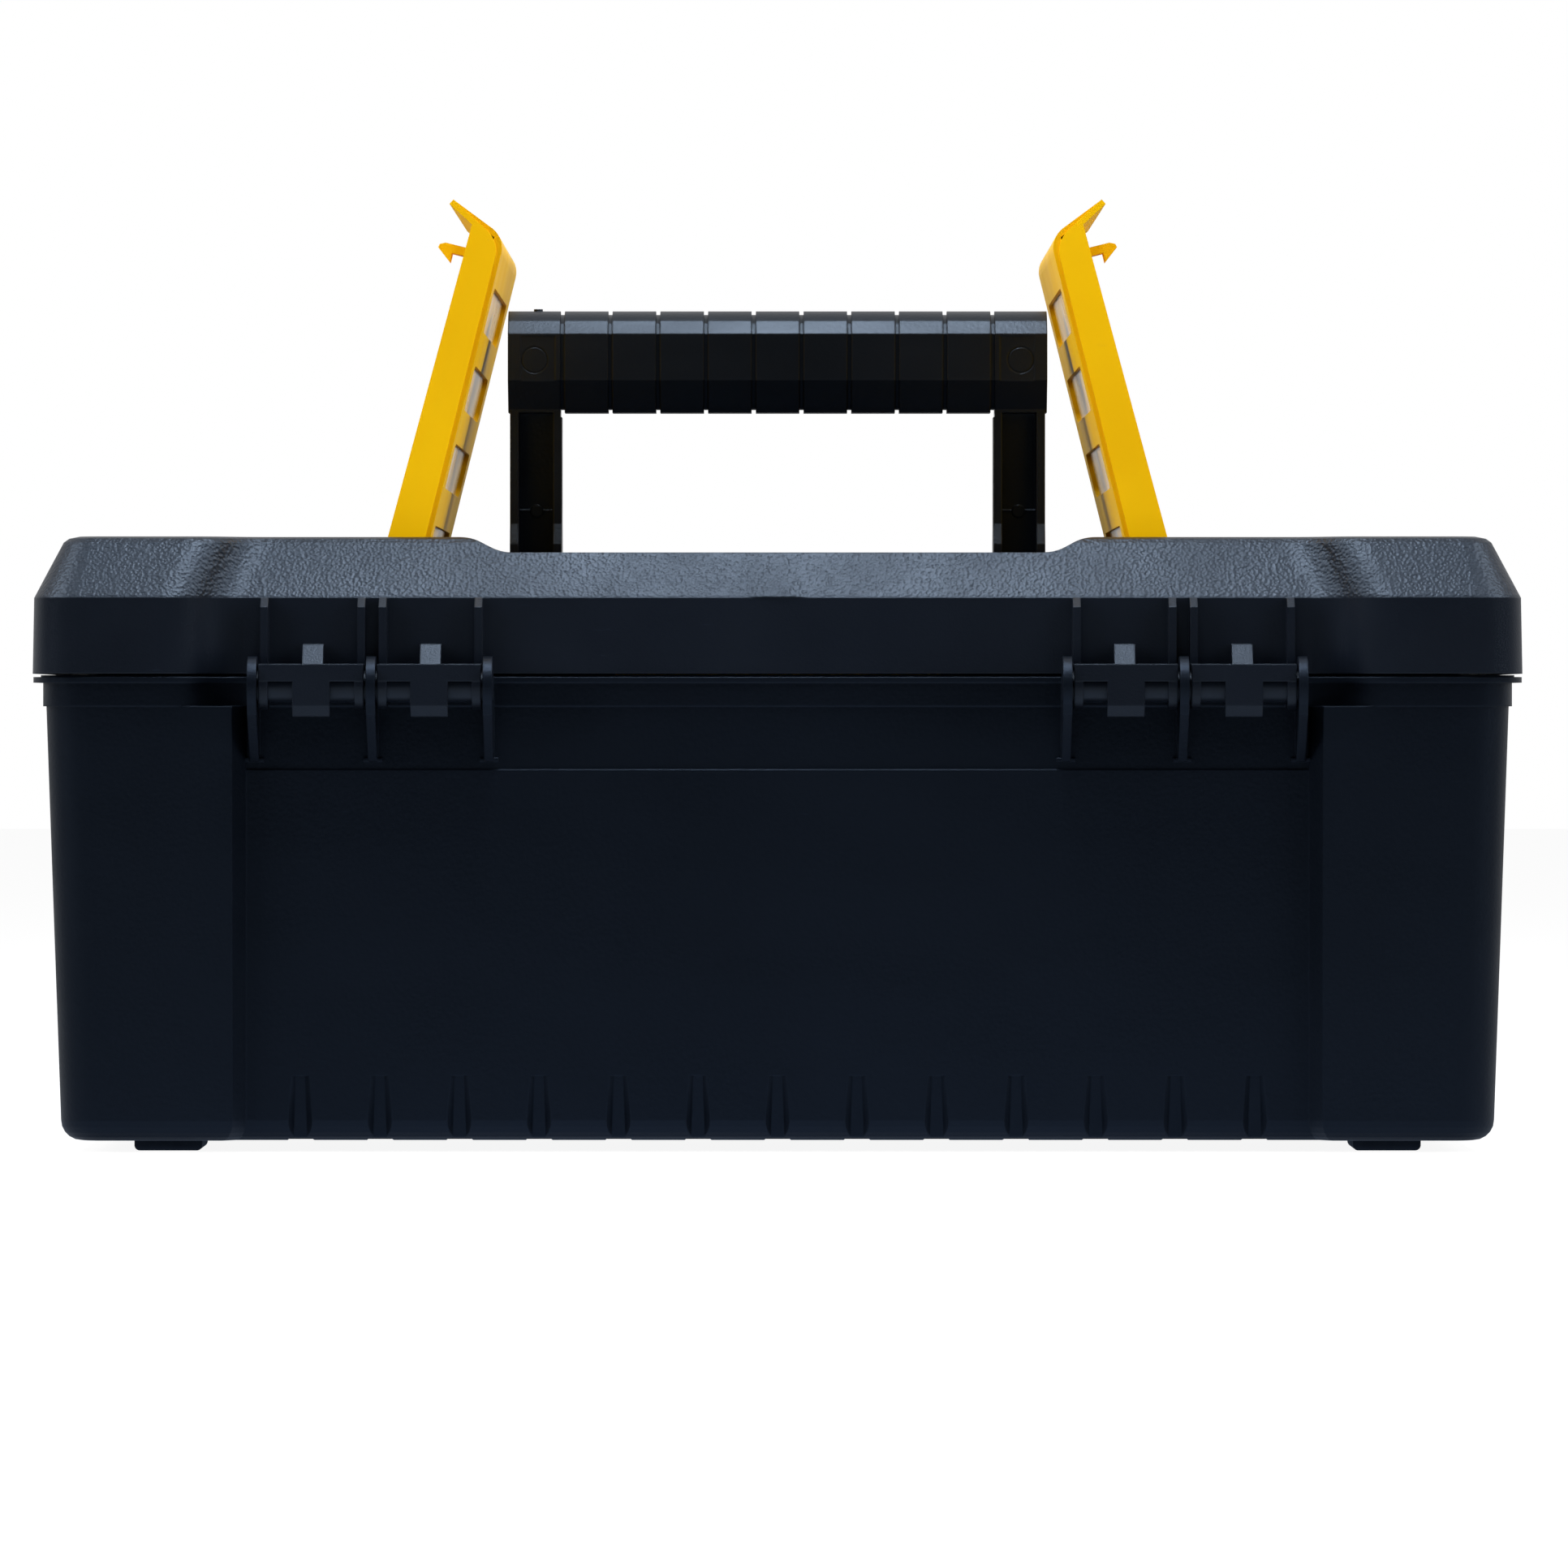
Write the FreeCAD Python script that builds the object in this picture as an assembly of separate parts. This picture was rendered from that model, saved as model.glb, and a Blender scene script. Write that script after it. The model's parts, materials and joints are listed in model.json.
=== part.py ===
import FreeCAD, Part
import math
import os

# A 12.5 inch class plastic toolbox in millimetres: a deep body, a hinged lid with two small
# organizers under yellow flaps, a folding carry handle and a lift-out tray.
# +X runs along the box, the front is +Y, the rear hinges are at -Y and +Z is up.
# The origin is on the ground, under the middle of the overall box.
V = FreeCAD.Vector
X_AXIS = V(1, 0, 0)
Y_AXIS = V(0, 1, 0)
Z_AXIS = V(0, 0, 1)

# Driving sizes
WALL = 2.4                # general wall thickness
RUN = 0.06                # radial clearance of every pin in a turning bore

# Body: outside half sizes at the foot and at the rim
FLOOR_BOTTOM = 2.5
FLOOR_TOP = 5.0
FOOT_ROUND = 4.4
BODY_FOOT_X, BODY_FOOT_Y = 154.4, 83.4
BODY_TOP_X, BODY_TOP_Y = 157.4, 85.4
BODY_CORNER = 9.0
PANEL_REAR_Y, PANEL_FRONT_Y = 80.0, 80.4
PANEL_EDGE_X = 117.0      # where the corner columns end
PANEL_BEVEL = 2.8
PANEL_BEVEL_SHIFT = 0.55  # how far the bevel's inner face stands outward, in wall thicknesses
LEDGE_Z = 82.3            # top of the rear panel
HINGE_ZONE_Y = 79.0       # rear wall above the ledge
RIM_BAND_Z, RIM_LIP_Z, RIM_TOP_Z = 95.9, 101.0, 102.2
RIM_BAND_X, RIM_BAND_Y = 158.1, 86.1
RIM_LIP_X, RIM_LIP_Y = 160.2, 88.2
RIM_SWAY_X, RIM_SWAY_RUN = 132.6, 17.9   # where the rim and lid turn in towards the hinges
RIM_REAR_STEP, RIM_FRONT_STEP = 6.6, 4.6
BAND_REAR_STEP, BAND_FRONT_STEP = 6.4, 4.5
BEAD_TOP_Z, BEAD_OUT, BEAD_IN = 102.6, 1.6, 2.8   # bead on the rim that closes the lid's gap
GROOVE_PITCH, GROOVE_COUNT, GROOVE_HEIGHT = 17.1, 13, 14.0
GROOVE_TOP_W, GROOVE_FOOT_W = 3.8, 5.8
GROOVE_TOP_DEPTH, GROOVE_DEPTH = 0.8, 2.0
NOTCH_H, NOTCH_REACH = 0.5, 10.0         # how each scoop runs on under the foot

# Feet
FOOT_W, FOOT_L, FOOT_H, FOOT_EDGE = 14.6, 22.0, 2.5, 1.2
FOOT_X, FOOT_Y = 131.5, 60.0

# Lid: outside half sizes, from the rim up to the flat top
LID_BOTTOM_Z, LID_BAND_Z, LID_SLOPE_Z, LID_TOP_Z = 102.9, 119.2, 131.2, 132.5
LID_X, LID_Y = 160.2, 88.4
LID_BAND_X, LID_BAND_Y = 159.9, 88.1
LID_SLOPE_X, LID_SLOPE_Y = 154.0, 78.1
LID_TOP_X, LID_TOP_Y = 150.6, 75.2
LID_REAR_STEP, LID_FRONT_STEP = 7.5, 5.0
LID_TOP_SWAY_X = 127.0
LID_CEILING_Z = 130.1
SADDLE_Z, SADDLE_X, SADDLE_RAMP_X = 129.1, 57.0, 69.0   # lowered middle of the lid's top
# Swelling on the rear slope: height, half widths at its foot and top, and how far it stands out
SWELL_SECTIONS = ((119.3, 6.7, 2.3, 0.35), (128.8, 1.8, 1.2, 0.06))

# Rear hinges
HINGE_Y, HINGE_Z = -87.5, 100.1
HINGE_PIN_R = 3.4
EAR_X = (62.0, 87.0, 112.4)
EAR_W, EAR_R, EAR_FOOT_Z = 2.0, 6.5, 84.0
CLIP_SPANS = ((63.4, 85.6), (88.5, 111.0))
CLIP_DISC_R, CLIP_DISC_W = 4.9, 2.0
CLIP_SHELF_Z, CLIP_SKIN = 104.9, 1.3
CLIP_APRON_Z = 101.2
TAB_BEND_Z, TAB_FOOT_Z = 96.0, 93.6
TAB_W = 8.0
RIB_W, RIB_DEPTH, RIB_SLANT = 1.65, 3.0, 2.0
RAMP_W, RAMP_H, RAMP_RUN = 4.5, 4.3, 4.5

# Organizer pockets in the lid, and their flaps
FLAP_AXIS_X, FLAP_AXIS_Z = 80.8, 127.0
FLAP_OPEN_DEG = 104.0
FLAP_TOP = 4.0            # top surface above the flap's axis
FLAP_SKIN, FLAP_SIDE = 2.3, 1.6
FLAP_HALF_Y = 62.0
FLAP_END_U, FLAP_END_R = 72.5, 3.5
FLAP_LIP_U, FLAP_LIP_W, FLAP_LIP_T = 79.0, -8.8, 1.3
FLAP_SIDE_DROP, FLAP_ROOF_U = 1.0, 1.2   # how far the roof stands proud of the two side skirts
SKIRT_HINGE_W, SKIRT_END_W = -5.0, -3.6
FLUTE_U = (5.9, 23.0, 40.5, 58.0)
FLUTE_W, FLUTE_L, FLUTE_DEPTH, FLUTE_R = 10.0, 96.0, 1.0, 2.4
FLUTE_FIRST_W = 7.4
HOOK_U, HOOK_T, HOOK_W, HOOK_REACH = 69.8, 1.9, 8.0, -12.1
HOOK_BARB, HOOK_BARB_W = 2.1, -8.8
FLAP_PIN_R = 1.5
POCKET_GAP = 0.6
POCKET_FLOOR_Z, POCKET_UNDER_Z = 121.6, 119.6
POCKET_WALL_Y = 64.8
POCKET_NOTCH_X, POCKET_NOTCH_Z = 158.1, 115.5
POCKET_LIP_X, POCKET_LIP_Z = 155.5, 117.4   # where the floor ends under the finger lip
PAN_X = (86.5, 146.5)
PAN_SPLIT_Y = (-58.0, -19.8, 19.8, 58.0)
PAN_WALL, PAN_FLOOR_Z, PAN_UNDER_Z = 1.8, 110.2, 108.4
SLOT_X, SLOT_HALF_Y = (148.5, 153.6), 4.8

# Carry handle and its well
HANDLE_PIVOT_Z = 122.0
HANDLE_HALF_X, HANDLE_LEG_OUT, HANDLE_LEG_IN = 59.9, 59.5, 48.0
GRIP_TOP_Z, GRIP_BOTTOM_Z, GRIP_HALF_Y = 184.0, 161.3, 9.0
GRIP_SHOULDER_Z, GRIP_LOW_Z = 178.7, 168.4
GRIP_ARCH_Y, GRIP_ARCH_Z = 6.6, 181.6    # where the facet over the shoulder meets the arched top
GRIP_FOOT_Y, GRIP_STRIP = 4.6, 1.2
GRIP_PITCH, GRIP_GROOVES, GRIP_GROOVE_W, GRIP_GROOVE_D = 10.63, 10, 0.95, 0.8
LEG_HALF_Y, LEG_FOOT_HALF_Y, LEG_FLANGE, LEG_WEB = 5.0, 6.8, 1.9, 1.8
LEG_FLARE_Z = (132.0, 136.6)             # where the leg widens towards its pivot
LEG_CHANNEL_Z = 127.0
EJECTOR_X, EJECTOR_Z, EJECTOR_R, EJECTOR_LINE = 54.0, 172.9, 3.0, 0.3
EJECTOR_FIELD_X, EJECTOR_FIELD_Z, MARK_DEPTH = (49.4, 57.0), (168.2, 178.2), 0.15
LEG_MARK_Z, LEG_MARK_R, LEG_MARK_LINE = 139.5, 1.4, 0.35
GATE_X, GATE_R, GATE_H = -53.3, 1.0, 0.45
HANDLE_PIN_R = 2.4
WELL_X, WELL_REAR_Y, WELL_FRONT_Y = 62.5, -64.5, 11.0
WELL_FLOOR_Z, WELL_WALL = 112.0, 2.2
WELL_EAR_X, WELL_EAR_W, WELL_EAR_TOP = 45.0, 2.4, 126.5

# Front latches
LATCH_X, LATCH_HALF_W = 84.0, 18.0
LATCH_Y, LATCH_Z, LATCH_R, LATCH_PIN_R = 88.4, 111.5, 3.0, 1.6
LATCH_IN_Y, LATCH_OUT_Y, LATCH_FLARE_Y = 89.6, 92.4, 94.0
LATCH_FOOT_Z, LATCH_FLARE_Z = 80.0, 86.0
LATCH_EAR_W, LATCH_EAR_GAP = 2.2, 0.4
CATCH_TOP_Z, CATCH_Z, CATCH_Y = 95.9, 93.5, 87.0
NIB_Y, NIB_Z = 85.6, (90.2, 93.0)

# Padlock eyes and badge
EYE_Y, EYE_R, EYE_HALF_X, EYE_OUT_Y = 88.4, 3.5, 8.0, 93.4
EYE_BODY_Z, EYE_LID_Z = (98.0, 101.0), (103.2, 106.2)
BADGE_HALF_X, BADGE_Z, BADGE_T, BADGE_BORDER = 34.0, (44.0, 72.0), 1.4, 2.0

# Tray
TRAY_HALF_X, TRAY_REAR_Y, TRAY_FRONT_Y = 149.5, -62.0, 74.0
TRAY_Z, TRAY_TOP_Z, TRAY_WALL, TRAY_FLANGE = 60.2, 92.0, 1.8, 2.0
TRAY_CORNER = 2.5
TRAY_SPLIT_Y, TRAY_SPLIT_TOP = 8.0, 88.0
TRAY_REST_Z, TRAY_REST_IN = 60.0, 146.0
DIVIDER_X, DIVIDER_T, DIVIDER_TOP, GUIDE_T, GUIDE_L, GUIDE_GAP = 50.0, 1.6, 84.0, 1.2, 3.0, 0.15
TRAY_GRIP_HALF_X, TRAY_GRIP_TOP, TRAY_GRIP_BAR = 38.0, 105.0, 7.0
TRAY_GRIP_LEG, TRAY_GRIP_HALF_Y, TRAY_GRIP_FOOT_Z = 7.0, 4.5, 74.0


def box(x, y, z):
    """Box between two X, two Y and two Z values."""
    corner = V(min(x), min(y), min(z))
    return Part.makeBox(abs(x[1] - x[0]), abs(y[1] - y[0]), abs(z[1] - z[0]), corner)


def rod(centre, radius, length, axis):
    """Cylinder that starts at its centre point and runs along an axis."""
    return Part.makeCylinder(radius, length, centre, axis)


def fuse(shapes):
    """One solid from several that overlap."""
    return shapes[0].multiFuse(shapes[1:]).removeSplitter()


def prism(points, start, sweep):
    """Polygon through 3-D points, moved to start and swept along a vector."""
    placed = [p + start for p in points]
    return Part.Face(Part.makePolygon(placed + placed[:1])).extrude(sweep)


def prism_x(points, x):
    """Side-view (Y, Z) polygon swept between two X values."""
    return prism([V(0, y, z) for y, z in points], V(x[0], 0, 0), V(x[1] - x[0], 0, 0))


def prism_y(points, y):
    """Front-view (X, Z) polygon swept between two Y values."""
    return prism([V(a, 0, c) for a, c in points], V(0, y[0], 0), V(0, y[1] - y[0], 0))


def mirror_x(shape):
    """The same shape on the other side of the X = 0 plane."""
    return shape.mirror(V(0, 0, 0), X_AXIS)


def both_sides(shape):
    """A shape and its mirror image."""
    return [shape, mirror_x(shape)]


def tangent_arc(start, end, tangent):
    """Arc in a level plane that leaves start along tangent and reaches end."""
    chord = end - start
    turn = math.atan2(chord.x * tangent.y - chord.y * tangent.x, chord.dot(tangent))
    side = V(-chord.y, chord.x, 0) * (math.tan(turn / 2) / 2)
    return Part.Arc(start, (start + end) * 0.5 + side, end).toShape()


def sway(start, end, heading, curved):
    """Step between two parallel stretches: an S of two arcs, or a straight bevel."""
    if not curved:
        return [Part.makeLine(start, end)]
    middle = (start + end) * 0.5
    first = tangent_arc(start, middle, heading)
    second = tangent_arc(end, middle, heading * -1)
    return [first, second]


def outline(half_x, half_y, z, corner, rear_step, front_step, step_x, step_run, curved):
    """Level outline with rounded corners and a shallow recess in the rear and the front."""
    edges = []
    inner_x = step_x - step_run
    for side, step in ((1, rear_step), (-1, front_step)):
        y_out = -half_y * side
        y_in = y_out + step * side
        heading = V(side, 0, 0)
        a = V(-side * (half_x - corner), y_out, z)
        b = V(-side * step_x, y_out, z)
        c = V(-side * inner_x, y_in, z)
        d = V(side * inner_x, y_in, z)
        e = V(side * step_x, y_out, z)
        f = V(side * (half_x - corner), y_out, z)
        g = V(side * half_x, y_out + side * corner, z)
        h = V(side * half_x, -y_out - side * corner, z)
        k = V(side * (half_x - corner), -y_out, z)
        edges.append(Part.makeLine(a, b))
        edges += sway(b, c, heading, curved)
        edges.append(Part.makeLine(c, d))
        edges += sway(d, e, heading, curved)
        edges.append(Part.makeLine(e, f))
        edges.append(tangent_arc(f, g, heading))
        edges.append(Part.makeLine(g, h))
        edges.append(tangent_arc(h, k, V(0, side, 0)))
    return Part.Wire(Part.__sortEdges__(edges))


def stack(wires):
    """Solid through level outlines, with straight walls between each two."""
    return fuse([Part.makeLoft(list(pair), True, True) for pair in zip(wires, wires[1:])])


# ---------------------------------------------------------------- body

def body_outline(z, inset):
    """Outside of the body at a height, moved in by inset; its panels stay upright."""
    rise = (z - FLOOR_BOTTOM - FOOT_ROUND) / (RIM_BAND_Z - FLOOR_BOTTOM - FOOT_ROUND)
    rise = max(rise, 0.0)
    half_x = BODY_FOOT_X + (BODY_TOP_X - BODY_FOOT_X) * rise - inset
    half_y = BODY_FOOT_Y + (BODY_TOP_Y - BODY_FOOT_Y) * rise - inset
    edge = PANEL_EDGE_X + PANEL_BEVEL_SHIFT * inset
    rear = half_y - (PANEL_REAR_Y - inset)
    front = half_y - (PANEL_FRONT_Y - inset)
    return outline(half_x, half_y, z, BODY_CORNER - inset, rear, front, edge, PANEL_BEVEL, False)


def rim_outline(half_x, half_y, z, rear_step, front_step):
    """Outline of the rim band and the rim lip."""
    corner = BODY_CORNER + half_x - BODY_TOP_X
    return outline(half_x, half_y, z, corner, rear_step, front_step, RIM_SWAY_X, RIM_SWAY_RUN, True)


def body_outside():
    """Body block with its rounded foot, before it is hollowed."""
    wires = []
    facets = 5
    for i in range(facets + 1):
        angle = math.pi / 2 * i / facets
        z = FLOOR_BOTTOM + FOOT_ROUND * (1 - math.cos(angle))
        wires.append(body_outline(z, FOOT_ROUND * (1 - math.sin(angle))))
    wires.append(body_outline(RIM_BAND_Z, 0.0))
    return stack(wires)


def rim():
    """Rim band with the thin lip that the lid closes onto."""
    band = [rim_outline(RIM_BAND_X, RIM_BAND_Y, z, BAND_REAR_STEP, BAND_FRONT_STEP)
            for z in (RIM_BAND_Z, RIM_LIP_Z)]
    lip = [rim_outline(RIM_LIP_X, RIM_LIP_Y, z, RIM_REAR_STEP, RIM_FRONT_STEP)
           for z in (RIM_LIP_Z, RIM_TOP_Z)]
    outer, inner = [rim_outline(RIM_LIP_X - inset, RIM_LIP_Y - inset, RIM_TOP_Z,
                                RIM_REAR_STEP, RIM_FRONT_STEP) for inset in (BEAD_OUT, BEAD_IN)]
    rise = V(0, 0, BEAD_TOP_Z - RIM_TOP_Z)
    bead = Part.Face(outer).extrude(rise).cut(Part.Face(inner).extrude(rise))
    return [stack(band), stack(lip), bead]


def groove_section(x, z, width, depth, face_y, side):
    """Level trapezoid of one scoop: width at the wall's face, half of it at the scoop's floor."""
    reach = 2.0
    wide = width / 4 * (2 + reach / depth)
    out_y = face_y + side * reach
    low_y = face_y - side * depth
    corners = [V(x - wide, out_y, z), V(x + wide, out_y, z),
               V(x + width / 4, low_y, z), V(x - width / 4, low_y, z)]
    return Part.makePolygon(corners + corners[:1])


def foot_grooves(face_y, side):
    """Row of tapered scoops at the foot of a panel; side is the way out of the wall."""
    tools = []
    for i in range(GROOVE_COUNT):
        x = (i - (GROOVE_COUNT - 1) / 2) * GROOVE_PITCH
        top = groove_section(x, FLOOR_BOTTOM + GROOVE_HEIGHT, GROOVE_TOP_W, GROOVE_TOP_DEPTH,
                             face_y, side)
        foot = groove_section(x, FLOOR_BOTTOM - 1, GROOVE_FOOT_W, GROOVE_DEPTH, face_y, side)
        tools.append(Part.makeLoft([foot, top], True, True))
        half = GROOVE_FOOT_W / 2
        y = (face_y + side, face_y - side * NOTCH_REACH)
        tools.append(prism_y([(x - half, FLOOR_BOTTOM - 1), (x - half, FLOOR_BOTTOM),
                              (x - half + NOTCH_H, FLOOR_BOTTOM + NOTCH_H),
                              (x + half - NOTCH_H, FLOOR_BOTTOM + NOTCH_H),
                              (x + half, FLOOR_BOTTOM), (x + half, FLOOR_BOTTOM - 1)], y))
    return tools


def hinge_ear(x):
    """Plate that carries the hinge pin, standing out of the rear wall."""
    start = V(x - EAR_W / 2, HINGE_Y, HINGE_Z)
    disc = rod(start, EAR_R, EAR_W, X_AXIS)
    inside = -HINGE_ZONE_Y + WALL / 2
    plate = prism_x([(HINGE_Y - EAR_R, HINGE_Z), (HINGE_Y - EAR_R + 2, HINGE_Z - 6),
                     (-HINGE_ZONE_Y - 1.5, EAR_FOOT_Z), (inside, EAR_FOOT_Z),
                     (inside, RIM_LIP_Z), (HINGE_Y, RIM_LIP_Z)],
                    (x - EAR_W / 2, x + EAR_W / 2))
    foot = box((x - EAR_W, x + EAR_W), (-HINGE_ZONE_Y - 1.5, inside), (EAR_FOOT_Z, EAR_FOOT_Z + 0.8))
    return [disc, plate, foot]


def latch_catch(x):
    """Rib on the front wall that a latch hooks under."""
    inside = PANEL_FRONT_Y - WALL / 2
    return prism_x([(inside, CATCH_Z), (CATCH_Y, CATCH_Z), (CATCH_Y, CATCH_TOP_Z - 1.2),
                    (CATCH_Y - 1.2, CATCH_TOP_Z), (inside, CATCH_TOP_Z)],
                   (x - LATCH_HALF_W + 3, x + LATCH_HALF_W - 3))


def padlock_eye(z, wall_y):
    """Level tab at the front with a hole for a padlock's shackle."""
    tab = box((-EYE_HALF_X, EYE_HALF_X), (wall_y, EYE_Y), z)
    nose = rod(V(0, EYE_Y, z[0]), EYE_OUT_Y - EYE_Y, z[1] - z[0], Z_AXIS)
    cheeks = prism([V(-EYE_HALF_X, EYE_Y, z[0]), V(EYE_HALF_X, EYE_Y, z[0]),
                    V(3, EYE_OUT_Y - 1, z[0]), V(-3, EYE_OUT_Y - 1, z[0])],
                   V(0, 0, 0), V(0, 0, z[1] - z[0]))
    return [tab, nose, cheeks]


def eye_hole(z):
    """Hole through a padlock eye."""
    return rod(V(0, EYE_Y, z[0] - 1), EYE_R, z[1] - z[0] + 2, Z_AXIS)


def body_shell():
    """Open body with rim, hinge ears, latch catches, padlock eye and tray rests."""
    hollow = stack([body_outline(z, WALL) for z in (FLOOR_TOP, RIM_BAND_Z - WALL)])
    neck = Part.Face(rim_outline(RIM_BAND_X - WALL, RIM_BAND_Y - WALL, RIM_BAND_Z - WALL,
                                 BAND_REAR_STEP, BAND_FRONT_STEP)).extrude(V(0, 0, 3 * WALL + 2))
    cuts = [hollow, neck]
    cuts.append(box((-PANEL_EDGE_X + PANEL_BEVEL, PANEL_EDGE_X - PANEL_BEVEL),
                    (-HINGE_ZONE_Y, -PANEL_REAR_Y - 1), (LEDGE_Z, RIM_BAND_Z)))
    cuts += foot_grooves(-PANEL_REAR_Y, -1) + foot_grooves(PANEL_FRONT_Y, 1)
    shell = fuse([body_outside()] + rim()).cut(cuts)
    adds = []
    for x in EAR_X:
        for side in (-1, 1):
            adds += hinge_ear(side * x)
    for side in (-1, 1):
        adds.append(latch_catch(side * LATCH_X))
        adds.append(prism_y([(side * TRAY_REST_IN, TRAY_REST_Z), (side * TRAY_REST_IN, TRAY_REST_Z - 2),
                             (side * BODY_FOOT_X, TRAY_REST_Z - 12), (side * BODY_FOOT_X, TRAY_REST_Z)],
                            (-56, 56)))
    adds += padlock_eye(EYE_BODY_Z, PANEL_FRONT_Y - WALL / 2)
    shell = fuse([shell] + adds)
    holes = [eye_hole(EYE_BODY_Z)]
    for side in (-1, 1):
        holes.append(rod(V(side * (EAR_X[0] - 3), HINGE_Y, HINGE_Z), HINGE_PIN_R + RUN / 2,
                         EAR_X[2] - EAR_X[0] + 6, X_AXIS * side))
    return shell.cut(holes)


def foot(x, y):
    """Low pad under the body with a rounded lower edge."""
    pad = box((x - FOOT_W / 2, x + FOOT_W / 2), (y - FOOT_L / 2, y + FOOT_L / 2), (0, FOOT_H))
    lower = [e for e in pad.Edges if e.BoundBox.ZMax < FOOT_EDGE]
    return pad.makeFillet(FOOT_EDGE, lower)


def hinge_pin(side):
    """Pin through three hinge ears."""
    start = side * (EAR_X[0] - EAR_W / 2)
    length = EAR_X[2] - EAR_X[0] + EAR_W
    pin = rod(V(start, HINGE_Y, HINGE_Z), HINGE_PIN_R, length, X_AXIS * side)
    return pin.makeChamfer(0.4, [e for e in pin.Edges if len(e.Vertexes) == 1])


# ---------------------------------------------------------------- lid

def lid_outline(half_x, half_y, z, inset=0.0, sway_x=RIM_SWAY_X):
    """Level outline of the lid, moved in by inset."""
    corner = BODY_CORNER + 1 + (half_x - LID_X) * 0.6
    return outline(half_x - inset, half_y - inset, z, corner - inset, LID_REAR_STEP,
                   LID_FRONT_STEP, sway_x, RIM_SWAY_RUN, True)


def lid_outside():
    """Lid block: upright band, sloped band and rounded top edge."""
    edge_x = (LID_SLOPE_X + LID_TOP_X) / 2 + 0.5
    edge_y = (LID_SLOPE_Y + LID_TOP_Y) / 2 + 0.5
    return stack([lid_outline(LID_X, LID_Y, LID_BOTTOM_Z),
                  lid_outline(LID_BAND_X, LID_BAND_Y, LID_BAND_Z),
                  lid_outline(LID_SLOPE_X, LID_SLOPE_Y, LID_SLOPE_Z, 0, LID_TOP_SWAY_X),
                  lid_outline(edge_x, edge_y, LID_TOP_Z - 0.45, 0, LID_TOP_SWAY_X),
                  lid_outline(LID_TOP_X, LID_TOP_Y, LID_TOP_Z, 0, LID_TOP_SWAY_X)])


def lid_hollow():
    """Space inside the lid under its roof."""
    return stack([lid_outline(LID_X, LID_Y, LID_BOTTOM_Z, WALL),
                  lid_outline(LID_BAND_X, LID_BAND_Y, LID_BAND_Z - 1, WALL),
                  lid_outline(LID_SLOPE_X, LID_SLOPE_Y, LID_CEILING_Z, WALL, LID_TOP_SWAY_X)])


def flap_axis(side):
    """The point on a flap's axis midway along the flap."""
    return V(side * FLAP_AXIS_X, 0, FLAP_AXIS_Z)


def pocket_tool():
    """Room that the right flap needs in the lid, closed and open."""
    lean = math.radians(FLAP_OPEN_DEG - 90)
    gap = FLAP_TOP + 0.3
    foot_x = FLAP_AXIS_X - gap * math.cos(lean)
    foot_z = FLAP_AXIS_Z - gap * math.sin(lean)
    rise = LID_TOP_Z + 1 - foot_z
    half_y = FLAP_HALF_Y + POCKET_GAP
    room = prism_y([(foot_x, foot_z), (foot_x - rise * math.tan(lean), foot_z + rise),
                    (LID_X + 2, foot_z + rise), (LID_X + 2, POCKET_NOTCH_Z),
                    (POCKET_NOTCH_X, POCKET_NOTCH_Z), (POCKET_NOTCH_X, POCKET_LIP_Z),
                    (POCKET_LIP_X, POCKET_FLOOR_Z), (FLAP_AXIS_X, POCKET_FLOOR_Z)],
                   (-half_y, half_y))
    barrel = rod(V(FLAP_AXIS_X, -half_y, FLAP_AXIS_Z), FLAP_TOP + 0.4, 2 * half_y, Y_AXIS)
    return fuse([room, barrel])


def pan_cuts():
    """Compartments of the right organizer and the slot for its flap's hook."""
    cuts = []
    for y0, y1 in zip(PAN_SPLIT_Y, PAN_SPLIT_Y[1:]):
        y_range = (y0 + PAN_WALL / 2, y1 - PAN_WALL / 2)
        cup = box(PAN_X, y_range, (PAN_FLOOR_Z, POCKET_FLOOR_Z + 1))
        upright = [e for e in cup.Edges if abs(e.tangentAt(0).z) > 0.5]
        cuts.append(cup.makeFillet(3.0, upright))
    cuts.append(box(SLOT_X, (-SLOT_HALF_Y, SLOT_HALF_Y), (POCKET_UNDER_Z - 1, POCKET_FLOOR_Z + 1)))
    return cuts


def pan_blocks(outside):
    """Solid blocks that the right organizer's pocket and pans are cut from."""
    pocket = box((72.0, LID_X), (-POCKET_WALL_Y, POCKET_WALL_Y), (POCKET_UNDER_Z, LID_TOP_Z))
    notch = box((POCKET_NOTCH_X - WALL - 0.8, LID_X), (-POCKET_WALL_Y, POCKET_WALL_Y),
                (LID_BOTTOM_Z + 4, LID_TOP_Z))
    pan = box((PAN_X[0] - PAN_WALL, PAN_X[1] + PAN_WALL),
              (PAN_SPLIT_Y[0] - PAN_WALL, PAN_SPLIT_Y[-1] + PAN_WALL),
              (PAN_UNDER_Z, POCKET_FLOOR_Z))
    return [pocket.common(outside), notch.common(outside), pan]


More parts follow.
